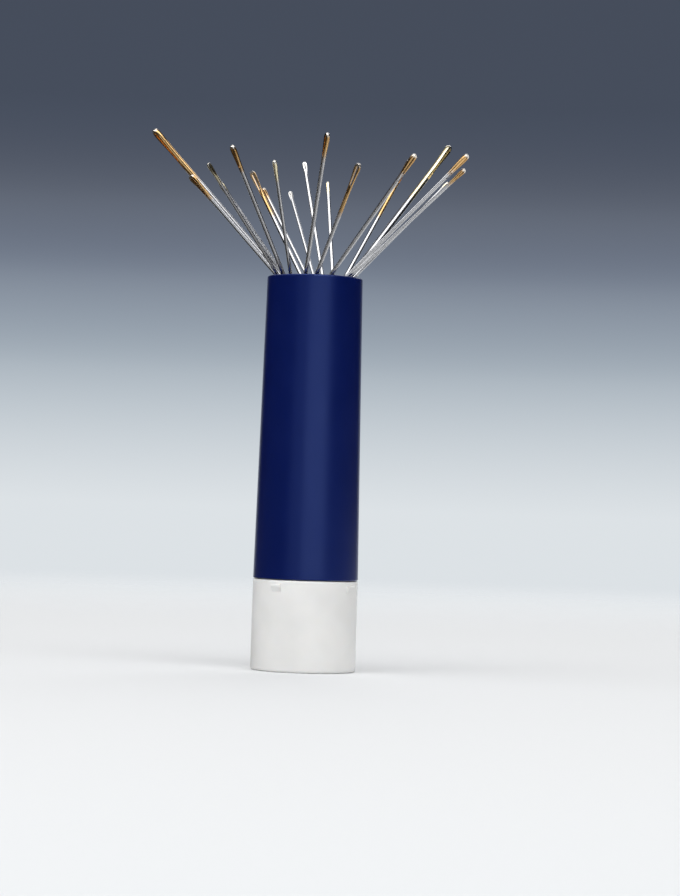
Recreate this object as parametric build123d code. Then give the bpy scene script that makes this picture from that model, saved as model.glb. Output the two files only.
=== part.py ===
from build123d import *
import os
from dataclasses import dataclass
from math import asin, cos, radians, sin, sqrt, tan

# Twist-up needle dispenser: a tapered sleeve turns on a round base knob, and a
# magnet carriage inside rises or sinks with its bunch of sewing needles.
# Millimetres and degrees. Z is the axis, and Z = 0 the face it stands on. The
# solids are drawn with the carriage raised and the needles fanned out.

# Driving dimensions of the case
base_radius = 11.0
base_height = 19.0
rim_height = 82.5
rim_radius = 10.0
mouth_radius = 8.8
mouth_depth = 6.2
joint_gap = 0.15

# The knob's wall, and the disc that closes it
knob_bore = 9.6
knob_top_wall = 1.6
plug_thickness = 1.6

# The tubes inside the sleeve, from the outside in
sleeve_bore = 9.3
liner_radius = 9.27
liner_bore = 8.25
guide_radius = 8.17
guide_bore = 7.55
guide_below_magnet = 0.5
liner_above_collar = 0.2
liner_end_play = 0.1
flange_radius = 9.2
flange_thickness = 1.6
carriage_radius = 7.47

# The twist: how far the carriage travels, and how far it goes in one turn
stroke = 47.5
lead = 38.0
magnet_depth = 7.5
lug_below_magnet = 3.5
lug_radius = 1.1
lug_tip = 8.85
lug_headings = (0, 180)
groove_radius = 1.3
groove_floor = 9.0

# The snap that keeps the sleeve on the base
collar_radius = 9.2
collar_height = 2.5
bead_radius = 9.4
bead_above_joint = 1.4
bead_half_height = 0.4
snap_groove_radius = 9.55
snap_slope = 0.25

# The nibs under the knob's upper edge
nib_headings = (-32, 58, 148, 238)
nib_width = 2.2
nib_height = 1.5
nib_proud = 0.45
nib_below_edge = 0.85
nib_crest = 0.35
nib_broken_edge = 0.1

# The magnet and the cup that carries it
magnet_radius = 6.8
magnet_thickness = 3.1
cup_lip_below = 0.25
cup_floor = 1.4
cup_height = 10.5
skirt_bore = 6.5

# Rounded and broken edges
rim_round = 0.38
mouth_round = 0.4
sleeve_foot_round = 0.25
knob_foot_round = 0.6
knob_edge_round = 0.35
magnet_chamfer = 0.3
lug_chamfer = 0.2

# A needle's parts, in shares of its wire's radius
tip_share = 0.06
bulge_share = 0.60
crown_height_share = 0.65
flat_share = 0.74
gutter_share = 0.60

# Its crown, in shares of the head's greatest width, and heights along the needle, in
# shares of the taper, of the head's length or of the wire's diameter
crown_width_share = 0.82
bulge_height_share = 0.45
widest_share = 0.30
ramp_below_neck_share = 0.15
ramp_above_neck_share = 0.30
crown_above_eye = 0.75
head_beyond_eye = 3.0
gutter_beyond_eye = 2.0

# Every stored needle stands like this in its own upright plane
stored_lean = -3.5
stored_foot = -3.0
foot_gap = 0.14
rim_gap = 0.30

# How far a cutter or a root runs past the face it crosses, and how far the stamp's
# ramp starts outside the wire
overcut = 0.3
stamp_clearance = 0.05

# Two lengths closer than this are the same, when an edge is looked up by its place
same_place = 0.01

magnet_top = rim_height - magnet_depth
lug_top = magnet_top - lug_below_magnet
lug_bottom = lug_top - stroke
collar_top = base_height + collar_height
bead_middle = base_height + bead_above_joint
knob_ceiling = base_height - knob_top_wall
liner_bottom = collar_top + liner_above_collar
liner_top = rim_height - mouth_depth
guide_bottom = knob_ceiling - flange_thickness
guide_top = magnet_top - guide_below_magnet
turn_range = 360 * stroke / lead


@dataclass
class Kind:
    """A kind of needle: its wire, the taper of its point and its eye."""

    diameter: float
    taper: float
    eye_length: float
    eye_width: float
    head_swell: float


between = Kind(diameter=0.66, taper=9.0, eye_length=1.1, eye_width=0.28, head_swell=1.32)
sharp = Kind(diameter=0.73, taper=9.0, eye_length=1.3, eye_width=0.30, head_swell=1.38)
crewel = Kind(diameter=0.86, taper=9.0, eye_length=4.6, eye_width=0.42, head_swell=1.46)
darner = Kind(diameter=1.24, taper=9.0, eye_length=7.6, eye_width=0.54, head_swell=1.32)


@dataclass
class Needle:
    """One needle in the fan. Headings are seen from above, and -90 is the front.

    lean is its angle from upright and heading the way it leans. offset is how far
    its upright plane passes beside the axis. eye faces the way its hole opens.
    """

    name: str
    kind: Kind
    length: float
    lean: float
    heading: float
    offset: float
    eye: float


needles = [
    Needle("darner_1", darner, length=51.5, lean=42.5, heading=179, offset=2.2, eye=-160),
    Needle("crewel_1", crewel, length=38.5, lean=42.5, heading=179, offset=0.9, eye=-150),
    Needle("sharp_1", sharp, length=39.5, lean=44.0, heading=179, offset=3.4, eye=-130),
    Needle("sharp_2", sharp, length=39.0, lean=42.0, heading=-140, offset=3.5, eye=-45),
    Needle("crewel_2", crewel, length=34.0, lean=36.0, heading=179, offset=4.6, eye=-160),
    Needle("crewel_3", crewel, length=42.5, lean=42.0, heading=-120, offset=3.5, eye=-130),
    Needle("crewel_4", crewel, length=38.5, lean=34.5, heading=137, offset=3.7, eye=-115),
    Needle("between_1", between, length=34.5, lean=35.5, heading=137, offset=4.9, eye=-40),
    Needle("sharp_3", sharp, length=38.5, lean=42.0, heading=-101, offset=3.8, eye=-140),
    Needle("between_2", between, length=35.0, lean=37.0, heading=114, offset=3.2, eye=-115),
    Needle("sharp_4", sharp, length=38.5, lean=27.0, heading=112, offset=4.5, eye=-75),
    Needle("crewel_5", crewel, length=41.5, lean=34.0, heading=-78, offset=3.5, eye=-145),
    Needle("sharp_5", sharp, length=34.0, lean=28.0, heading=99, offset=4.8, eye=-15),
    Needle("crewel_6", crewel, length=35.5, lean=35.0, heading=-58, offset=3.9, eye=-110),
    Needle("crewel_7", crewel, length=41.0, lean=39.5, heading=-34, offset=4.1, eye=-50),
    Needle("crewel_8", crewel, length=44.5, lean=37.0, heading=50, offset=1.2, eye=-15),
    Needle("darner_2", darner, length=53.5, lean=43.0, heading=44, offset=3.1, eye=-20),
    Needle("crewel_9", crewel, length=46.0, lean=43.5, heading=-7, offset=3.4, eye=-40),
    Needle("sharp_6", sharp, length=43.5, lean=45.5, heading=-7, offset=2.2, eye=-40),
    Needle("sharp_7", sharp, length=40.5, lean=44.0, heading=20, offset=3.3, eye=0),
]


def turned(profile):
    """A solid of revolution round Z from (radius, height) points."""
    with BuildSketch(Plane.XZ) as section:
        with BuildLine():
            Polyline(*profile, close=True)
        make_face()
    return revolve(section.sketch, Axis.Z)


def outward(heading):
    """The level direction that points away from the axis at a heading."""
    return Vector(cos(radians(heading)), sin(radians(heading)), 0)


def radial_pin(radius, heading, height, start, end):
    """A round pin that points straight out from the axis."""
    out = outward(heading)
    root = Plane(origin=out * start + Vector(0, 0, height), z_dir=out)
    return extrude(root * Circle(radius), end - start)


def rings(solid, radius, height):
    """The round edges of a turned solid at one radius and height."""

    def on_the_ring(edge):
        box = edge.bounding_box()
        misses = (box.max.X - radius, box.max.Z - height, box.size.Z)
        return all(abs(miss) < same_place for miss in misses)

    return solid.edges().filter_by(on_the_ring)


def make_sleeve():
    """The outer tube: tapered outside, straight bored, with a narrower rounded mouth."""
    foot = base_height + joint_gap
    shoulder = liner_top + liner_end_play
    body = turned(
        [
            (sleeve_bore, foot),
            (base_radius, foot),
            (rim_radius, rim_height),
            (mouth_radius, rim_height),
            (mouth_radius, shoulder + sleeve_bore - mouth_radius),
            (sleeve_bore, shoulder),
            (sleeve_bore, bead_middle + bead_half_height + snap_slope),
            (snap_groove_radius, bead_middle + bead_half_height),
            (snap_groove_radius, bead_middle - bead_half_height),
            (sleeve_bore, bead_middle - bead_half_height - snap_slope),
        ]
    )
    body = fillet(rings(body, rim_radius, rim_height), rim_round)
    body = fillet(rings(body, mouth_radius, rim_height), mouth_round)
    return fillet(rings(body, base_radius, foot), sleeve_foot_round)


def spiral_groove(heading):
    """The cutters for one helical groove, with a round end where the lug stops."""
    start = liner_bore - overcut
    depth = groove_floor - start
    path = Helix(pitch=lead, height=stroke, radius=groove_floor - depth / 2)
    across = Plane(origin=path @ 0, x_dir=(1, 0, 0), z_dir=path % 0)
    section = across * Rectangle(depth, 2 * groove_radius)
    low_heading = heading - turn_range
    run = Pos(0, 0, lug_bottom) * Rot(0, 0, low_heading) * sweep(section, path, is_frenet=True)
    low = radial_pin(groove_radius, low_heading, lug_bottom, start, groove_floor)
    high = radial_pin(groove_radius, heading, lug_top, start, groove_floor)
    return [run, low, high]


def make_spiral_liner():
    """The tube pressed into the sleeve. Its two grooves screw the carriage up and down."""
    body = turned(
        [
            (liner_bore, liner_bottom),
            (liner_radius, liner_bottom),
            (liner_radius, liner_top),
            (liner_bore, liner_top),
        ]
    )
    for heading in lug_headings:
        for cutter in spiral_groove(heading):
            body -= cutter
    return body


def make_nib(heading):
    """A small wedge, thickest along its upper edge, for a thumbnail to hold."""
    top = base_height - nib_below_edge
    root = base_radius - overcut
    crest = base_radius + nib_proud
    with BuildSketch(Plane.XZ) as side:
        with BuildLine():
            Polyline(
                (root, top),
                (crest - nib_broken_edge, top),
                (crest, top - nib_broken_edge),
                (crest, top - nib_crest - nib_broken_edge),
                (base_radius, top - nib_height),
                (root, top - nib_height),
                close=True,
            )
        make_face()
    return Rot(0, 0, heading) * extrude(side.sketch, nib_width / 2, both=True)


def make_base_knob():
    """The knob: a moulded cup open below, with a collar on top for the sleeve."""
    crest = bead_half_height - bead_radius + collar_radius
    body = turned(
        [
            (knob_bore, 0),
            (base_radius, 0),
            (base_radius, base_height),
            (collar_radius, base_height),
            (collar_radius, bead_middle - bead_half_height),
            (bead_radius, bead_middle - crest),
            (bead_radius, bead_middle + crest),
            (collar_radius, bead_middle + bead_half_height),
            (collar_radius, collar_top),
            (guide_radius, collar_top),
            (guide_radius, knob_ceiling),
            (knob_bore, knob_ceiling),
        ]
    )
    body = fillet(rings(body, base_radius, 0), knob_foot_round)
    body = fillet(rings(body, base_radius, base_height), knob_edge_round)
    for heading in nib_headings:
        body += make_nib(heading)
    return body


def make_base_plug():
    """The disc that closes the knob, flush with its foot."""
    return Pos(0, 0, plug_thickness / 2) * Cylinder(knob_bore, plug_thickness)


def make_guide_tube():
    """The fixed tube with two straight slots, held by a flange under the knob's top."""
    body = turned(
        [
            (guide_bore, guide_bottom),
            (flange_radius, guide_bottom),
            (flange_radius, knob_ceiling),
            (guide_radius, knob_ceiling),
            (guide_radius, guide_top),
            (guide_bore, guide_top),
        ]
    )
    start, end = guide_bore - overcut, guide_radius + overcut
    middle = Pos((start + end) / 2, 0, (lug_top + lug_bottom) / 2)
    for heading in lug_headings:
        body -= Rot(0, 0, heading) * middle * Box(end - start, 2 * groove_radius, stroke)
        for height in (lug_bottom, lug_top):
            body -= radial_pin(groove_radius, heading, height, start, end)
    return body


def make_carriage():
    """The cup that slides in the guide tube, with a lug on each side."""
    top = magnet_top - cup_lip_below
    pocket = magnet_top - magnet_thickness
    bottom = magnet_top - cup_height
    body = turned(
        [
            (0, pocket - cup_floor),
            (skirt_bore, pocket - cup_floor),
            (skirt_bore, bottom),
            (carriage_radius, bottom),
            (carriage_radius, top),
            (magnet_radius, top),
            (magnet_radius, pocket),
            (0, pocket),
        ]
    )
    for heading in lug_headings:
        lug = radial_pin(lug_radius, heading, lug_top, magnet_radius + overcut, lug_tip)
        end = lug.faces().sort_by_distance((0, 0, lug_top))[-1]
        body += chamfer(end.edges(), lug_chamfer)
    return body


def make_magnet():
    """The disc that the needles stand on."""
    body = Pos(0, 0, magnet_top - magnet_thickness / 2) * Cylinder(magnet_radius, magnet_thickness)
    return chamfer(body.faces().sort_by(Axis.Z)[-1].edges(), magnet_chamfer)


def make_blank(kind, length, neck):
    """A round needle on Z, from its point at the origin to its rounded crown."""
    wire = kind.diameter / 2
    tip = tip_share * wire
    bulge = (bulge_share * wire, bulge_height_share * kind.taper)
    swell = wire * kind.head_swell
    crown_radius, crown_height = crown_width_share * swell, crown_height_share * wire
    ball = (crown_radius**2 + crown_height**2) / (2 * crown_height)
    half_angle = asin(crown_radius / ball) / 2
    crown = (crown_radius, length - crown_height)
    crown_middle = (ball * sin(half_angle), length - ball + ball * cos(half_angle))
    widest = (swell, length - widest_share * (length - neck))
    with BuildSketch(Plane.XZ) as half:
        with BuildLine():
            Line((0, 0), (tip, 0))
            ThreePointArc((tip, 0), bulge, (wire, kind.taper))
            Line((wire, kind.taper), (wire, neck))
            Spline((wire, neck), widest, crown, tangents=((0, 1), (-0.5, 1)))
            ThreePointArc(crown, crown_middle, (0, length))
            Line((0, length), (0, 0))
        make_face()
    return revolve(half.sketch, Axis.Z)


def make_needle(kind, length):
    """A needle on Z: a round blank, stamped flat at the head, with its eye open along Y.

    A gutter runs down from the eye on both flats, so that the thread lies in it.
    """
    wire = kind.diameter / 2
    head = kind.eye_length + head_beyond_eye * kind.diameter
    neck = length - head
    flat, clear = flat_share * wire, 2 * wire
    low = neck - ramp_below_neck_share * head
    high = neck + ramp_above_neck_share * head
    with BuildSketch(Plane.YZ) as side:
        with BuildLine():
            Polyline(
                (wire + stamp_clearance, low),
                (flat, high),
                (flat, length),
                (clear, length),
                (clear, low),
                close=True,
            )
        make_face()
    stamp = extrude(side.sketch, clear, both=True)
    eye_middle = length - crown_above_eye * kind.diameter - kind.eye_length / 2
    gutter_length = kind.eye_length + gutter_beyond_eye * kind.diameter
    gutter_middle = eye_middle - crown_above_eye * kind.diameter
    eye = Plane(origin=(0, 0, eye_middle), x_dir=(0, 0, 1), z_dir=(0, 1, 0))
    gutter = Plane(origin=(0, gutter_share * wire, gutter_middle), x_dir=(0, 0, 1), z_dir=(0, 1, 0))
    groove = extrude(gutter * SlotOverall(gutter_length, kind.eye_width), clear)
    body = make_blank(kind, length, neck)
    for cutter in (stamp, groove):
        body -= cutter
        body -= mirror(cutter, Plane.XZ)
    return body - extrude(eye * SlotOverall(kind.eye_length, kind.eye_width), clear, both=True)


def swing(needle):
    """Where a needle stands when fanned out, and the axis it swings about.

    Its point stands on the magnet and its shaft leans on the mouth's edge. As the
    magnet sinks, the needle turns upright about one fixed level axis far beside the
    case, which carries its point down with the magnet.
    """
    lean, stored = radians(needle.lean), radians(stored_lean)
    way = outward(needle.heading)
    side = Vector(way.Y, -way.X, 0)
    reach = mouth_radius - rim_gap - needle.kind.diameter / 2 / cos(lean)
    foot = sqrt(reach**2 - needle.offset**2) - magnet_depth * tan(lean)
    middle = (foot + stored_foot) / 2
    half_swing = (lean - stored) / 2
    pole_out = middle + stroke / 2 / tan(half_swing)
    pole_down = -stroke / 2 - (foot - stored_foot) / 2 / tan(half_swing)
    beside = side * needle.offset
    point = beside + way * foot + Vector(0, 0, magnet_top + foot_gap)
    pole = beside + way * pole_out + Vector(0, 0, magnet_top + foot_gap + pole_down)
    direction = way * sin(lean) + Vector(0, 0, cos(lean))
    return point, direction, pole, side, needle.lean - stored_lean


def placed(needle):
    """The needle where it stands when fanned out, turned so that its eye faces right."""
    point, direction, _, _, _ = swing(needle)
    across = outward(needle.eye).cross(direction).normalized()
    stand = Plane(origin=point, x_dir=across, z_dir=direction)
    return stand * make_needle(needle.kind, needle.length)


parts = {
    "base_knob": make_base_knob(),
    "base_plug": make_base_plug(),
    "guide_tube": make_guide_tube(),
    "sleeve": make_sleeve(),
    "spiral_liner": make_spiral_liner(),
    "carriage": make_carriage(),
    "magnet": make_magnet(),
}
for needle in needles:
    parts[needle.name] = placed(needle)

os.makedirs("parts", exist_ok=True)
for name, part in parts.items():
    export_step(part, f"parts/{name}.step")

print("sleeve turn", round(turn_range, 3), "degrees lowers the carriage", stroke, "mm")
for needle in needles:
    _, _, pole, side, angle = swing(needle)
    pole_at = [round(v, 4) for v in (pole.X, pole.Y, pole.Z)]
    print("swing", needle.name, pole_at, [round(side.X, 6), round(side.Y, 6)], angle)
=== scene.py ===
# %% [markdown]
# # A twist-up needle dispenser
# A dark blue tapered sleeve turns on a white base knob. Inside, a magnet rises and
# sinks with a bunch of sewing needles, which fan out over the rim of the mouth.
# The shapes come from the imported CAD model. This lesson dresses them: a studio,
# a camera that stands where the picture was taken, and a finish for every part.

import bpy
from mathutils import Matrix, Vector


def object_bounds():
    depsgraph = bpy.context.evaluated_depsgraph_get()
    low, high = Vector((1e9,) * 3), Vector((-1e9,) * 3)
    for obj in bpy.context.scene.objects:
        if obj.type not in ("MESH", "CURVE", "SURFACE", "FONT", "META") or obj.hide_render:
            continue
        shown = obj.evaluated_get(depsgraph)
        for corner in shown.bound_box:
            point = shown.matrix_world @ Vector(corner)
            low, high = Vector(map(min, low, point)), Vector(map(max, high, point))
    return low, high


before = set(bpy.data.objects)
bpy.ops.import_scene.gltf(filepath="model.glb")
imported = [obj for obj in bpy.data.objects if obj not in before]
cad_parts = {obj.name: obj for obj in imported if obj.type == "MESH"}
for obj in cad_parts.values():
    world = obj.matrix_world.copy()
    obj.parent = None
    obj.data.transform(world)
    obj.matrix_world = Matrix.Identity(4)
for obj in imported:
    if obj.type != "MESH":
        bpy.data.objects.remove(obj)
cad_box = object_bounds()

# %% [markdown]
# The tools: `bpy` is Blender itself, `bmesh` makes meshes in code, and `Vector` and
# `Matrix` are its points and placements. Blender works in metres, and this object
# is easier to think of in millimetres, so one name converts between them. A fresh
# file may hold a camera and a lamp of its own, and both go first.

# %% Tools and units
import math

import bmesh
import bpy
from mathutils import Matrix, Vector

mm = 0.001
scene = bpy.context.scene
for leftovers in (bpy.data.cameras, bpy.data.lights):
    while leftovers:
        leftovers.remove(leftovers[0])
print("case", [round((high - low) / mm, 1) for low, high in zip(*cad_box)], "mm")

# %% [markdown]
# ## The camera
# A long lens half a metre away flattens the case, as in the picture. The stand
# point, tilt and roll were worked out once, so that the rim, the joint line and the
# foot of the case fall where the picture has them. The lens is given as focal
# length over picture height, because Blender's sensor width measures the long side.

# %% Place the camera
picture_height = 896
focal_length = 2671.6  # both in pixels of the picture
nearest_seen = 10 * mm
camera_place = Vector((6.36, -561.1, 33.96)) * mm
tilt_up = math.radians(1.319)
roll = math.radians(1.824)

forward = Vector((0, math.cos(tilt_up), math.sin(tilt_up)))
level_right = Vector((1, 0, 0))
level_up = level_right.cross(forward)
right = math.cos(roll) * level_right + math.sin(roll) * level_up
up = right.cross(forward)

camera_data = bpy.data.cameras.new("picture_camera")
camera_data.lens = camera_data.sensor_width * (focal_length / picture_height)
camera_data.clip_start = nearest_seen
camera = bpy.data.objects.new("picture_camera", camera_data)
scene.collection.objects.link(camera)
turn = Matrix((right, up, -forward)).transposed().to_4x4()
camera.matrix_world = Matrix.Translation(camera_place) @ turn
scene.camera = camera
print("lens", round(camera_data.lens, 1), "mm")

# %% [markdown]
# ## Building node trees
# Every finish below is a tree of shader nodes. A few short helpers keep the cells
# readable. `node` adds one node with its settings, and `wire` joins two sockets. The
# others add a node, feed it whatever they are given and hand back what it puts out.
# Noise crowds round its middle value, 0.5, so it is stretched from one of the three
# ranges below: the narrower the range, the harder the contrast.

# %% Helpers for node trees
soft_contrast = (0.20, 0.80)
plain_contrast = (0.25, 0.75)
hard_contrast = (0.30, 0.70)
middle_value = 0.5


def node(tree, kind, **settings):
    made = tree.nodes.new(kind)
    for name, value in settings.items():
        setattr(made, name, value)
    return made


def wire(tree, value, socket):
    """Joins an output to a socket, or writes a plain value on it."""
    if isinstance(value, bpy.types.NodeSocket):
        tree.links.new(value, socket)
    else:
        socket.default_value = value


def math_node(tree, operation, *values, clamp=False):
    made = node(tree, "ShaderNodeMath", operation=operation, use_clamp=clamp)
    for value, socket in zip(values, made.inputs):
        wire(tree, value, socket)
    return made.outputs[0]


def vector_node(tree, operation, *values, scale=None):
    made = node(tree, "ShaderNodeVectorMath", operation=operation)
    for value, socket in zip(values, made.inputs):
        wire(tree, value, socket)
    if scale is not None:
        wire(tree, scale, made.inputs["Scale"])
    return made.outputs["Value"] if operation in ("DOT_PRODUCT", "LENGTH") else made.outputs[0]


def ramp_node(tree, value, low, high, to_low=0.0, to_high=1.0):
    """Maps low..high to to_low..to_high with soft ends."""
    made = node(tree, "ShaderNodeMapRange", interpolation_type="SMOOTHSTEP")
    for given, name in (
        (value, "Value"),
        (low, "From Min"),
        (high, "From Max"),
        (to_low, "To Min"),
        (to_high, "To Max"),
    ):
        wire(tree, given, made.inputs[name])
    return made.outputs["Result"]


def noise_node(tree, vector, scale, detail=2.0):
    made = node(tree, "ShaderNodeTexNoise")
    wire(tree, vector, made.inputs["Vector"])
    wire(tree, scale, made.inputs["Scale"])
    wire(tree, detail, made.inputs["Detail"])
    return made.outputs["Fac"]


def noise_of_size(tree, vector, size, detail):
    """Noise whose spots are about as wide as the given length."""
    return noise_node(tree, vector, math_node(tree, "DIVIDE", 1.0, size), detail)


def mix_colours(tree, share, first, second):
    """A Mix node takes its two colours at sockets 6 and 7, and gives the mix at 2."""
    made = node(tree, "ShaderNodeMix", data_type="RGBA")
    wire(tree, share, made.inputs["Factor"])
    for value, socket in ((first, made.inputs[6]), (second, made.inputs[7])):
        wire(tree, (*value, 1) if isinstance(value, tuple) else value, socket)
    return made.outputs[2]


# %% [markdown]
# ## Studio
# The case stands on a pale floor. The floor is a wide disc whose rim fades out into
# the backdrop, so that no horizon line crosses the picture and every side view has
# the same clean ground. Only the finish fades, so the object keeps its shadow. The
# lamps reach less far than the floor does, so a faint glow, which only seeing rays
# meet, keeps its tone even. The floor itself is dull and mirrors nothing.

# %% Floor
def seeing_rays(tree):
    """1 for rays that show a thing, straight or mirrored, and 0 for those that light."""
    ray = node(tree, "ShaderNodeLightPath").outputs
    shiny = math_node(tree, "MAXIMUM", ray["Is Glossy Ray"], ray["Is Transmission Ray"])
    return math_node(tree, "MAXIMUM", ray["Is Camera Ray"], shiny)


floor_radius = 3.0
fade_from = 0.14
fade_to = 0.8
floor_colour = (0.70, 0.71, 0.72)
floor_roughness = 0.65
near_glow = 0.05
far_glow = 0.40

floor_mesh = bpy.data.meshes.new("floor")
shape = bmesh.new()
bmesh.ops.create_circle(shape, cap_ends=True, segments=96, radius=floor_radius)
shape.to_mesh(floor_mesh)
shape.free()
floor = bpy.data.objects.new("floor", floor_mesh)
scene.collection.objects.link(floor)

floor_finish = bpy.data.materials.new("pale_floor")
floor_finish.use_nodes = True
tree = floor_finish.node_tree
surface = tree.nodes["Principled BSDF"]
surface.inputs["Base Color"].default_value = (*floor_colour, 1)
surface.inputs["Roughness"].default_value = floor_roughness
surface.inputs["Specular IOR Level"].default_value = 0.0
place = node(tree, "ShaderNodeTexCoord")
distance = vector_node(tree, "LENGTH", place.outputs["Object"])
surface.inputs["Emission Color"].default_value = (*floor_colour, 1)
glow = ramp_node(tree, distance, fade_from, fade_to, near_glow, far_glow)
glow = math_node(tree, "MULTIPLY", seeing_rays(tree), glow)
wire(tree, glow, surface.inputs["Emission Strength"])
fade = node(tree, "ShaderNodeMixShader")
wire(tree, ramp_node(tree, distance, fade_from, fade_to), fade.inputs[0])
wire(tree, surface.outputs[0], fade.inputs[1])
wire(tree, node(tree, "ShaderNodeBsdfTransparent").outputs[0], fade.inputs[2])
wire(tree, fade.outputs[0], tree.nodes["Material Output"].inputs["Surface"])
floor_mesh.materials.append(floor_finish)
print("floor", 2 * floor_radius, "m across")

# %% [markdown]
# The backdrop is the world itself, a soft gradient from the pale floor tone up to a
# dark, cool grey. Nickel only looks like nickel when it has something pale and
# something dark to mirror, and the gradient gives it both. What the camera and shiny
# surfaces see is this gradient, and what lights the dull surfaces is an even, dimmer
# grey. `Is Camera Ray` and its companions tell the two apart. The stops are given by
# the height of the direction looked in: 0 is level, and 1 is straight up.

# %% Backdrop
backdrop_tones = {
    0.0: (0.72, 0.76, 0.79),
    0.05: (0.42, 0.475, 0.53),
    0.085: (0.205, 0.24, 0.30),
    0.115: (0.110, 0.128, 0.168),
    0.15: (0.062, 0.076, 0.108),
    0.50: (0.085, 0.095, 0.12),
}
fill_light = 0.36

world = bpy.data.worlds.new("studio")
scene.world = world
world.use_nodes = True
tree = world.node_tree
tree.nodes.clear()
direction = node(tree, "ShaderNodeTexCoord").outputs["Generated"]
height = node(tree, "ShaderNodeSeparateXYZ")
wire(tree, direction, height.inputs[0])
highest = max(backdrop_tones)
gradient = node(tree, "ShaderNodeValToRGB")
gradient.color_ramp.interpolation = "CARDINAL"
stops = gradient.color_ramp.elements
while len(stops) < len(backdrop_tones):
    stops.new(0.5)
for stop, (level, tone) in zip(stops, backdrop_tones.items()):
    stop.position = level / highest
    stop.color = (*tone, 1)
climb = math_node(tree, "DIVIDE", height.outputs["Z"], highest, clamp=True)
wire(tree, climb, gradient.inputs["Fac"])
background = node(tree, "ShaderNodeBackground")
tone = mix_colours(tree, seeing_rays(tree), (fill_light,) * 3, gradient.outputs["Color"])
wire(tree, tone, background.inputs["Color"])
wire(tree, background.outputs[0], node(tree, "ShaderNodeOutputWorld").inputs["Surface"])
print("backdrop", len(stops), "tones")

# %% [markdown]
# The key light is a wide softbox, high in front. It whitens the needles that lean
# away from the camera, because those mirror what is above them. A low, dim box in
# front draws the wide soft band down the sleeve. One to the left runs a light along
# the needles that lean to the right, one overhead whitens the crowns, and one behind
# lights the far edges. Light falls off with distance, so each box is given as the
# share of full daylight that it brings to the object: a white card held there and
# facing the box would look that bright.

# %% Softboxes
def softbox(name, azimuth, elevation, away, width, height, share):
    """A box that faces the case. Azimuth 0 is the camera's side, and 90 its right."""
    lamp = bpy.data.lights.new(name, "AREA")
    lamp.shape = "RECTANGLE"
    lamp.size = width
    lamp.size_y = height
    lamp.energy = share * math.pi**2 * away**2
    a, e = math.radians(azimuth), math.radians(elevation)
    way = Vector((math.sin(a) * math.cos(e), -math.cos(a) * math.cos(e), math.sin(e)))
    holder = bpy.data.objects.new(name, lamp)
    scene.collection.objects.link(holder)
    holder.location = aim_point + way * away
    holder.rotation_euler = (-way).to_track_quat("-Z", "Y").to_euler()
    print(name, round(lamp.energy, 2), "W")


aim_point = (cad_box[0] + cad_box[1]) / 2
softbox("key_box", azimuth=0, elevation=60, away=1.1, width=1.7, height=0.7, share=0.84)
softbox("low_box", azimuth=14, elevation=3, away=1.2, width=1.1, height=0.38, share=0.09)
softbox("side_box", azimuth=-80, elevation=42, away=1.2, width=0.9, height=0.5, share=0.16)
softbox("top_box", azimuth=0, elevation=82, away=0.9, width=0.7, height=0.7, share=0.10)
softbox("back_box", azimuth=165, elevation=38, away=1.2, width=1.0, height=0.7, share=0.26)

# %% [markdown]
# Photographers stand dark cards, called flags, beside shiny things. Nickel wire with
# nothing dark to mirror looks like chalk, and the flags draw the dark lines along its
# edges. They also keep the sides of the sleeve a deep navy. Two more cards lie on the
# floor. The grey one in front calms the needles that lean towards the camera, which
# mirror the ground. The nearly black one at the left draws the dark lines under the
# needles that lean that way. The ones that lean right mirror the bare floor, and
# stay bright. The cards are only in the reflections: they take no light away, and no
# view shows them.

# %% A card and its finish
card_roughness = 0.95


def card_finish(name, tone):
    finish = bpy.data.materials.new(name)
    finish.use_nodes = True
    surface = finish.node_tree.nodes["Principled BSDF"]
    surface.inputs["Base Color"].default_value = (tone, tone, tone, 1)
    surface.inputs["Roughness"].default_value = card_roughness
    surface.inputs["Specular IOR Level"].default_value = 0.0
    return finish


def card(name, shape, finish):
    mesh = bpy.data.meshes.new(name)
    shape.to_mesh(mesh)
    shape.free()
    mesh.materials.append(finish)
    stood = bpy.data.objects.new(name, mesh)
    scene.collection.objects.link(stood)
    stood.visible_camera = False
    stood.visible_diffuse = False
    stood.visible_shadow = False
    print(name, [round(side, 2) for side in stood.dimensions], "m")


# %% Cards round the case and on the floor
card_lift = 0.4 * mm
flag_lift = 1 * mm


def spots_round(start, end, away, steps=24):
    """Places on the floor at one distance, from one azimuth round to another."""
    angles = [math.radians(start + (end - start) * step / steps) for step in range(steps + 1)]
    return [(away * math.sin(a), -away * math.cos(a)) for a in angles]


def flag(name, start, end, away, height, finish):
    """A curved card that stands on the floor."""
    shape = bmesh.new()
    edges = []
    for x, y in spots_round(start, end, away):
        edges.append([shape.verts.new((x, y, z)) for z in (flag_lift, height)])
    for (low, high), (next_low, next_high) in zip(edges, edges[1:]):
        shape.faces.new((low, next_low, next_high, high))
    card(name, shape, finish)


def floor_card(name, start, end, away, finish):
    """A slice of a round card that lies on the floor, its tip under the case."""
    shape = bmesh.new()
    rim = [shape.verts.new((x, y, card_lift)) for x, y in spots_round(start, end, away)]
    shape.faces.new([shape.verts.new((0, 0, card_lift))] + rim)
    card(name, shape, finish)


black_velvet = card_finish("black_velvet", 0.008)
grey_card = card_finish("grey_card", 0.30)
dark_card = card_finish("dark_card", 0.05)
flag("left_flag", start=-40, end=-152, away=0.5, height=0.22, finish=black_velvet)
flag("right_flag", start=47, end=152, away=0.5, height=0.22, finish=black_velvet)
floor_card("front_card", start=-45, end=45, away=0.4, finish=grey_card)
floor_card("left_card", start=-45, end=-180, away=0.4, finish=dark_card)

# %% [markdown]
# Blender can bend the colours the way film does. `Standard` shows them as written.

# %% Plain colours
scene.view_settings.view_transform = "Standard"
print("colours are shown as", scene.view_settings.view_transform)

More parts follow.
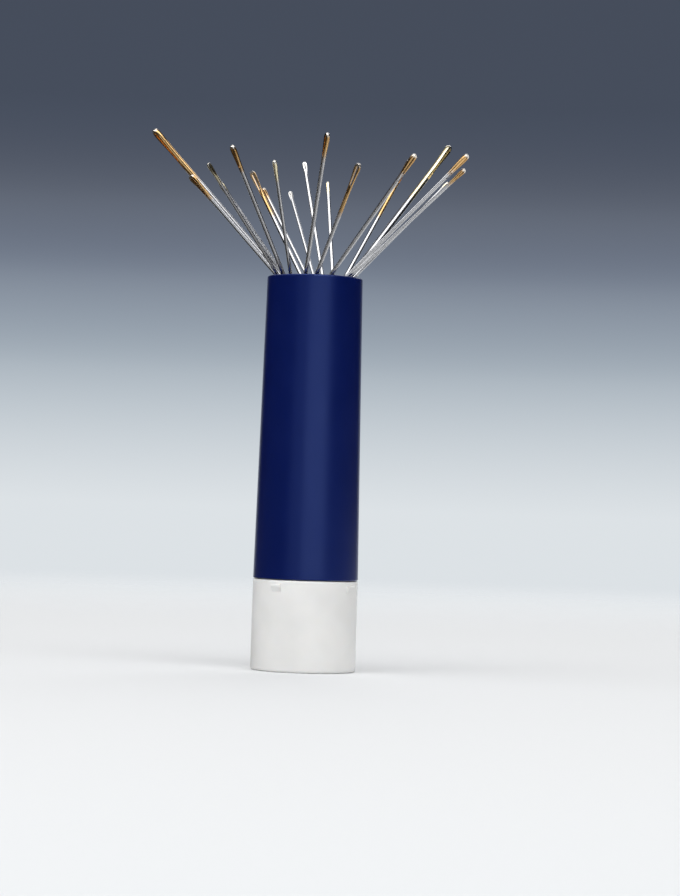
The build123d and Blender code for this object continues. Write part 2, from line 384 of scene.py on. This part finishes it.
# %% [markdown]
# ## Effects that several finishes share
# Each effect is a node group, built once. A group has named inputs, so that a finish
# can set how strong or how fine the effect is, and it puts out masks and heights,
# never a finished surface.

# %% A group with named sockets
def effect(name, inputs, outputs):
    """An empty node group. `inputs` gives each socket its first value."""
    group = bpy.data.node_groups.new(name, "ShaderNodeTree")
    for socket, default in inputs.items():
        kind = "NodeSocketVector" if isinstance(default, tuple) else "NodeSocketFloat"
        made = group.interface.new_socket(name=socket, in_out="INPUT", socket_type=kind)
        made.default_value = default
    for socket in outputs:
        kind = "NodeSocketVector" if socket == "Around" else "NodeSocketFloat"
        group.interface.new_socket(name=socket, in_out="OUTPUT", socket_type=kind)
    print(name, "takes", ", ".join(inputs), "and gives", ", ".join(outputs))
    return group, node(group, "NodeGroupInput").outputs, node(group, "NodeGroupOutput").inputs


def use_effect(tree, group, **values):
    """Places a group in a finish. Spaces in socket names are written as _."""
    made = node(tree, "ShaderNodeGroup", node_tree=group)
    for name, value in values.items():
        wire(tree, value, made.inputs[name.replace("_", " ")])
    return made.outputs


# %% [markdown]
# **Moulded grain.** A plastic tool is never polished perfectly, and the part copies
# its texture: a fine even grain, with faint larger unevenness where the wall shrank
# while it cooled. Noise at two sizes gives both.

# %% Moulded grain
grain, given, out = effect(
    "moulded grain", {"Grain size": 0.25 * mm, "Wave size": 9 * mm}, ["Grain", "Wave"]
)
place = node(grain, "ShaderNodeTexCoord").outputs["Object"]
wire(grain, noise_of_size(grain, place, given["Grain size"], detail=3.0), out["Grain"])
wire(grain, noise_of_size(grain, place, given["Wave size"], detail=2.0), out["Wave"])

# %% [markdown]
# **Edge wear.** Corners rub first. A Bevel node pretends that every edge is rounded,
# and where the pretended normal leaves the true one, there is an edge nearby. Noise
# breaks the line up, because a worn edge is never worn evenly. How nearly the two
# normals agree is 1 on a flat face, and less the closer an edge is.

# %% Edge wear
agree_on_faces = 0.995
agree_on_edges = 0.80
unworn_noise = 0.75
worn_noise = 1.15

wear, given, out = effect(
    "edge wear", {"Width": 0.35 * mm, "Patch size": 1.5 * mm, "Evenness": 0.5}, ["Mask"]
)
rounded = node(wear, "ShaderNodeBevel", samples=6)
wire(wear, given["Width"], rounded.inputs["Radius"])
true_normal = node(wear, "ShaderNodeNewGeometry").outputs["Normal"]
agreement = vector_node(wear, "DOT_PRODUCT", rounded.outputs[0], true_normal)
edge = ramp_node(wear, agreement, agree_on_faces, agree_on_edges)
place = node(wear, "ShaderNodeTexCoord").outputs["Object"]
patches = noise_of_size(wear, place, given["Patch size"], detail=4.0)
patches = math_node(wear, "ADD", patches, given["Evenness"])
kept = ramp_node(wear, patches, unworn_noise, worn_noise)
wire(wear, math_node(wear, "MULTIPLY", edge, kept), out["Mask"])

# %% [markdown]
# **Hairlines.** Pockets, scissors and sewing boxes leave fine scratches. Here they
# are thin bands of a stretched noise: long in one direction, and only where the
# noise passes its middle value. `Stretch` squeezes the noise along each axis, and a
# small number makes the lines long that way. A second, coarser noise leaves them in
# some places only.

# %% Hairline scratches
line_half_width = 0.012
patch_scale = 90.0
patch_edge = 0.95

hairlines, given, out = effect(
    "hairlines", {"Spacing": 1.2 * mm, "Stretch": (1.0, 1.0, 0.04), "Share": 0.35}, ["Mask"]
)
place = node(hairlines, "ShaderNodeTexCoord").outputs["Object"]
stretched = vector_node(hairlines, "MULTIPLY", place, given["Stretch"])
streaks = noise_of_size(hairlines, stretched, given["Spacing"], detail=5.0)
from_middle = math_node(hairlines, "SUBTRACT", streaks, middle_value)
from_middle = math_node(hairlines, "ABSOLUTE", from_middle)
lines = ramp_node(hairlines, from_middle, line_half_width, 0.0)
patches = noise_node(hairlines, place, patch_scale)
patch_start = math_node(hairlines, "SUBTRACT", patch_edge, given["Share"])
shown = ramp_node(hairlines, patches, patch_start, patch_edge)
wire(hairlines, math_node(hairlines, "MULTIPLY", lines, shown), out["Mask"])

# %% [markdown]
# ** Crevices.** Polish never reaches the bottom of a slot, and dirt stays there, and the
# mask darkens it further as painted shade. The Ambient Occlusion node feels how much of
# the surroundings a point can see within a short reach, which is little inside a
# needle's eye and nearly all of it outside.

# %% Crevices: grime and painted shade
open_share = 0.80
shut_share = 0.35

crevices, given, out = effect("crevices", {"Reach": 0.5 * mm}, ["Mask"])
seen_share = node(crevices, "ShaderNodeAmbientOcclusion", samples=6)
wire(crevices, given["Reach"], seen_share.inputs["Distance"])
# This mask darkens shut-in places: painted shade, partly real grime and unpolished metal.
shut_in_shade = ramp_node(crevices, seen_share.outputs["AO"], open_share, shut_share)
wire(crevices, shut_in_shade, out["Mask"])

# %% [markdown]
# ## Plastic finishes
# The case is moulded in three plastics: the navy sleeve, the white knob, and the
# plain milky plastic that hidden parts are usually made of. They differ in colour,
# gloss and grain, so one maker function builds them all from those values. The
# numbers before it are shared: how much deeper the tone is where the wall is thick,
# how far worn edges and scratches turn to the worn colour, how much duller a worn
# edge is, and how deep a scratch is beside the grain. On the white and milky plastics
# the worn colour is real wear. On the navy it is a lighter blue, so its edges, the rim
# above all, also carry a painted highlight.

# %% A moulded plastic
deep_tone = 0.93
edge_wear_and_sheen_share = 0.55
scratch_fading = 0.22
edge_dulling = 0.08
scratch_depth = 1.5


def plastic(name, colour, worn_and_sheen_colour, gloss_low, gloss_high, grain_size, grain_depth, edge_width):
    finish = bpy.data.materials.new(name)
    finish.use_nodes = True
    tree = finish.node_tree
    surface = tree.nodes["Principled BSDF"]
    texture = use_effect(tree, grain, Grain_size=grain_size)
    edges = use_effect(tree, wear, Width=edge_width)
    scratches = use_effect(tree, hairlines)

    shade = ramp_node(tree, texture["Wave"], *plain_contrast)
    deep = tuple(deep_tone * c for c in colour)
    body = mix_colours(tree, shade, deep, colour)
    # On the navy the worn colour is a lighter blue, so the worn edges carry a painted highlight
    # besides real wear.
    rubbed_and_sheen = math_node(tree, "MULTIPLY", edges["Mask"], edge_wear_and_sheen_share)
    body = mix_colours(tree, rubbed_and_sheen, body, worn_and_sheen_colour)
    marked = math_node(tree, "MULTIPLY", scratches["Mask"], scratch_fading)
    wire(tree, mix_colours(tree, marked, body, worn_and_sheen_colour), surface.inputs["Base Color"])

    gloss = ramp_node(tree, texture["Wave"], *soft_contrast, gloss_low, gloss_high)
    duller = math_node(tree, "MULTIPLY", edges["Mask"], edge_dulling)
    wire(tree, math_node(tree, "ADD", gloss, duller), surface.inputs["Roughness"])

    cut = math_node(tree, "MULTIPLY", scratches["Mask"], scratch_depth)
    height = math_node(tree, "SUBTRACT", texture["Grain"], cut)
    bump = node(tree, "ShaderNodeBump")
    bump.inputs["Strength"].default_value = 1.0
    bump.inputs["Distance"].default_value = grain_depth
    wire(tree, height, bump.inputs["Height"])
    wire(tree, bump.outputs[0], surface.inputs["Normal"])
    print(name, "roughness", gloss_low, "to", gloss_high)
    return finish, surface


# %% [markdown]
# Navy pigment is strong, and what the glossy skin mirrors looks blue too. The white
# and the milky plastic let a little light in, which softens their shadows. Red light
# reaches furthest in, and blue the least.

# %% The three plastics
navy_shine = 0.90
navy_mirror_tint = (0.28, 0.42, 1.0)
let_in = 0.12
reach_in = 0.8 * mm
reach_of_colours = (1.0, 0.8, 0.6)

navy, navy_surface = plastic(
    "navy_satin_plastic",
    colour=(0.0001, 0.0050, 0.078),
    # A lighter blue along the edges: a painted highlight on the rim, besides real wear.
    worn_and_sheen_colour=(0.012, 0.045, 0.26),
    gloss_low=0.29,
    gloss_high=0.34,
    grain_size=0.22 * mm,
    grain_depth=0.004 * mm,
    edge_width=0.45 * mm,
)
white, white_surface = plastic(
    "white_plastic",
    colour=(0.880, 0.875, 0.860),
    worn_and_sheen_colour=(0.78, 0.77, 0.74),
    gloss_low=0.32,
    gloss_high=0.38,
    grain_size=0.30 * mm,
    grain_depth=0.003 * mm,
    edge_width=0.25 * mm,
)
milky, milky_surface = plastic(
    "milky_plastic",
    colour=(0.74, 0.75, 0.73),
    worn_and_sheen_colour=(0.66, 0.66, 0.63),
    gloss_low=0.42,
    gloss_high=0.50,
    grain_size=0.40 * mm,
    grain_depth=0.004 * mm,
    edge_width=0.20 * mm,
)
navy_surface.inputs["Specular IOR Level"].default_value = navy_shine
navy_surface.inputs["Specular Tint"].default_value = (*navy_mirror_tint, 1)
for soft_plastic in (white_surface, milky_surface):
    soft_plastic.inputs["Subsurface Weight"].default_value = let_in
    soft_plastic.inputs["Subsurface Scale"].default_value = reach_in
    soft_plastic.inputs["Subsurface Radius"].default_value = reach_of_colours

# %% [markdown]
# ## Putting a finish on a part
# A part keeps its material slot, and only the material in it is exchanged.

# %% Dress the case
def dress(part, finish):
    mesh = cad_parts[part].data
    if not mesh.materials:
        mesh.materials.append(finish)
    for index in range(len(mesh.materials)):
        mesh.materials[index] = finish
    print(part, "has", finish.name)


dress("sleeve", navy)
dress("base_knob", white)
dress("base_plug", white)
dress("guide_tube", milky)
dress("carriage", milky)
dress("spiral_liner", milky)

# %% [markdown]
# ## The magnet
# A small disc magnet is pressed from powder and plated with nickel. Its top is
# ground flat, which leaves fine marks, and the points of the needles scratch it.

# %% Magnet
plated_tones = ((0.44, 0.44, 0.43), (0.56, 0.56, 0.55))
rubbed_tone = (0.30, 0.29, 0.28)
plated_gloss = (0.28, 0.42)
mark_depth = 0.006 * mm

plated = bpy.data.materials.new("plated_magnet")
plated.use_nodes = True
tree = plated.node_tree
surface = tree.nodes["Principled BSDF"]
surface.inputs["Metallic"].default_value = 1.0
scratches = use_effect(tree, hairlines, Spacing=0.5 * mm, Stretch=(1.0, 0.06, 1.0), Share=0.6)
texture = use_effect(tree, grain, Grain_size=0.15 * mm)
edges = use_effect(tree, wear, Width=0.3 * mm)
tone = mix_colours(tree, texture["Wave"], *plated_tones)
tone = mix_colours(tree, edges["Mask"], tone, rubbed_tone)
wire(tree, tone, surface.inputs["Base Color"])
gloss = ramp_node(tree, texture["Grain"], *hard_contrast, *plated_gloss)
wire(tree, gloss, surface.inputs["Roughness"])
bump = node(tree, "ShaderNodeBump")
bump.inputs["Distance"].default_value = mark_depth
wire(tree, math_node(tree, "SUBTRACT", texture["Grain"], scratches["Mask"]), bump.inputs["Height"])
wire(tree, bump.outputs[0], surface.inputs["Normal"])
dress("magnet", plated)

# %% [markdown]
# ## The needles
# A sewing needle is drawn wire, ground to a point, stamped at the eye and plated
# with nickel. Better ones are gilt at the eye, so that thread slips through, and the
# gilding fades out down the shaft where the bath ended. So the finish has to know
# how far along the needle a point is. A group measures that from the needle's own
# point and direction, which are read from its mesh.

# %% Distance along a needle
lengthwise, given, out = effect(
    "lengthwise", {"Point": (0.0, 0.0, 0.0), "Way": (0.0, 0.0, 1.0)}, ["Along", "Around"]
)
place = node(lengthwise, "ShaderNodeTexCoord").outputs["Object"]
from_point = vector_node(lengthwise, "SUBTRACT", place, given["Point"])
along = vector_node(lengthwise, "DOT_PRODUCT", from_point, given["Way"])
on_axis = vector_node(lengthwise, "SCALE", given["Way"], scale=along)
wire(lengthwise, along, out["Along"])
wire(lengthwise, vector_node(lengthwise, "SUBTRACT", from_point, on_axis), out["Around"])

# %% [markdown]
# **Drawn wire.** Polishing along the wire leaves streaks that run its whole length.
# Noise that is fine round the wire and very long along it gives them.

# %% Drawn wire streaks
drawn, given, out = effect(
    "drawn wire",
    {"Around": (0.0, 0.0, 0.0), "Along": 0.0, "Streak": 0.30 * mm, "Length": 9 * mm},
    ["Mask"],
)
finely = math_node(drawn, "DIVIDE", 1.0, given["Streak"])
round_the_wire = vector_node(drawn, "SCALE", given["Around"], scale=finely)
along_the_wire = node(drawn, "ShaderNodeCombineXYZ")
slowly = math_node(drawn, "DIVIDE", given["Along"], given["Length"])
wire(drawn, slowly, along_the_wire.inputs["Z"])
spot = vector_node(drawn, "ADD", round_the_wire, along_the_wire.outputs[0])
wire(drawn, noise_node(drawn, spot, scale=1.0, detail=3.0), out["Mask"])

# %% [markdown]
# **Gilding.** Full at the eye, thin and blotchy where it ends. The end is given as a
# height along the needle, and noise moves it up and down round the wire.

# %% Gilding
blotch_scale = 900.0

gilding, given, out = effect(
    "gilding", {"Along": 0.0, "Starts": 30 * mm, "Fade": 2.5 * mm}, ["Mask"]
)
place = node(gilding, "ShaderNodeTexCoord").outputs["Object"]
blotch = noise_node(gilding, place, blotch_scale, detail=3.0)
blotch = math_node(gilding, "SUBTRACT", blotch, middle_value)
blotch = math_node(gilding, "MULTIPLY", blotch, given["Fade"])
reached = math_node(gilding, "ADD", given["Along"], blotch)
low = math_node(gilding, "SUBTRACT", given["Starts"], given["Fade"])
wire(gilding, ramp_node(gilding, reached, low, given["Starts"]), out["Mask"])

# %% [markdown]
# The picture shows where the gold ends on most needles. Some needles are given a deep
# amber and others a pale gold, copied from how dark or bright each head looked, which
# came partly from what it mirrored: the amber is partly painted shade and the pale
# gold partly painted highlight. Each tone is a pair, for the dark and the light
# streaks. Each number is the millimetres of gilding from the head down. Two short
# needles in the middle are silver all the way up.

# %% How far each needle is gilt
# One gilding in a darker and a lighter tone: painted shade on the amber heads, painted highlight
# on the pale ones.
shaded_amber = ((0.42, 0.24, 0.09), (0.70, 0.46, 0.21))
lit_pale_gold = ((0.74, 0.60, 0.33), (0.97, 0.88, 0.62))
gilt_length = {
    shaded_amber: {
        "darner_1": 14.0, "crewel_1": 6.4, "crewel_3": 6.0, "crewel_4": 12.0, "crewel_5": 5.2,
        "crewel_6": 11.5, "crewel_7": 5.0, "crewel_8": 17.0, "crewel_9": 5.0, "sharp_1": 3.6,
        "sharp_6": 4.5, "between_1": 2.9,
    },
    lit_pale_gold: {
        "darner_2": 17.5, "crewel_2": 2.5, "sharp_2": 4.8, "sharp_3": 4.6, "sharp_4": 0.0,
        "sharp_5": 3.0, "sharp_7": 1.5, "between_2": 0.0,
    },
}
print("needles:", sum(len(needles) for needles in gilt_length.values()))

# %% [markdown]
# Thread and cloth buff the very top of every crown, and it is painted nearly white:
# partly bright buffed nickel, partly a painted highlight where the crown catches the
# light from above. On the silver needles the whole head is painted as bright, a painted
# highlight on heads that mirror dark surroundings. The bottom of the eye and its
# gutters is painted dark: partly dull unpolished metal, partly painted shade where the
# eye is shut in. A ramp along the needle and the crevice mask lay these two over the
# nickel and the gold. The tones of the nickel are a pair too, and so is the roughness:
# the light streaks are a little rougher than the dark ones.

# %% A needle's finish
nickel_tones = ((0.48, 0.48, 0.49), (0.60, 0.60, 0.61))
# Near white for the crowns and the silver heads: painted highlight, partly buffed nickel.
buffed_and_highlight_tone = (0.93, 0.90, 0.84)
# Near black for the eye and its gutters: painted shade, partly unpolished metal.
unpolished_and_shade_tone = (0.06, 0.04, 0.025)
wire_gloss = (0.17, 0.24)
streak_depth = 0.0004 * mm
gold_blend = 1.2 * mm
gilt_crown = 0.9 * mm
silver_head = 2.6 * mm
all_bright_above = 0.3
buffed_and_highlight_share = 0.8


def needle_ends(part):
    """The point and the head of a needle: the lowest corner, and the furthest from it."""
    corners = [v.co.copy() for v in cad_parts[part].data.vertices]
    point = min(corners, key=lambda c: c.z)
    head = max(corners, key=lambda c: (c - point).length)
    return point, head


def needle_finish(part, gilt, gold_tones):
    point, head = needle_ends(part)
    length = (head - point).length
    finish = bpy.data.materials.new("nickel_" + part)
    finish.use_nodes = True
    tree = finish.node_tree
    surface = tree.nodes["Principled BSDF"]
    surface.inputs["Metallic"].default_value = 1.0
    measure = use_effect(tree, lengthwise, Point=tuple(point), Way=tuple((head - point) / length))
    along = measure["Along"]
    streaks = use_effect(tree, drawn, Around=measure["Around"], Along=along)["Mask"]
    light_streaks = ramp_node(tree, streaks, *hard_contrast)
    tone = mix_colours(tree, light_streaks, *nickel_tones)
    if gilt:
        starts = length - gilt * mm
        gold = use_effect(tree, gilding, Along=along, Starts=starts + gold_blend)["Mask"]
        tone = mix_colours(tree, gold, tone, mix_colours(tree, light_streaks, *gold_tones))
    bright = gilt_crown if gilt else silver_head
    first, full = length - bright, length - all_bright_above * bright
    # The crown is lightened towards the top: painted highlight, partly buffed nickel.
    buffed_and_highlight = ramp_node(tree, along, first, full, to_high=buffed_and_highlight_share)
    tone = mix_colours(tree, buffed_and_highlight, tone, buffed_and_highlight_tone)
    # The eye and its gutters are darkened by the crevice mask: painted shade, partly unpolished
    # metal.
    unpolished_and_shaded = use_effect(tree, crevices, Reach=0.4 * mm)["Mask"]
    tone = mix_colours(tree, unpolished_and_shaded, tone, unpolished_and_shade_tone)
    wire(tree, tone, surface.inputs["Base Color"])
    gloss = ramp_node(tree, streaks, *plain_contrast, *wire_gloss)
    wire(tree, gloss, surface.inputs["Roughness"])
    bump = node(tree, "ShaderNodeBump")
    bump.inputs["Distance"].default_value = streak_depth
    wire(tree, streaks, bump.inputs["Height"])
    wire(tree, bump.outputs[0], surface.inputs["Normal"])
    return finish, length


# %% [markdown]
# Each needle gets a finish of its own, because the point, the direction and the
# length of the gilding differ.

# %% Dress the needles
for gold_tones, needles in gilt_length.items():
    for part, gilt in needles.items():
        finish, length = needle_finish(part, gilt, gold_tones)
        dress(part, finish)
        print(part, round(length / mm, 1), "mm, gilt", gilt, "mm")
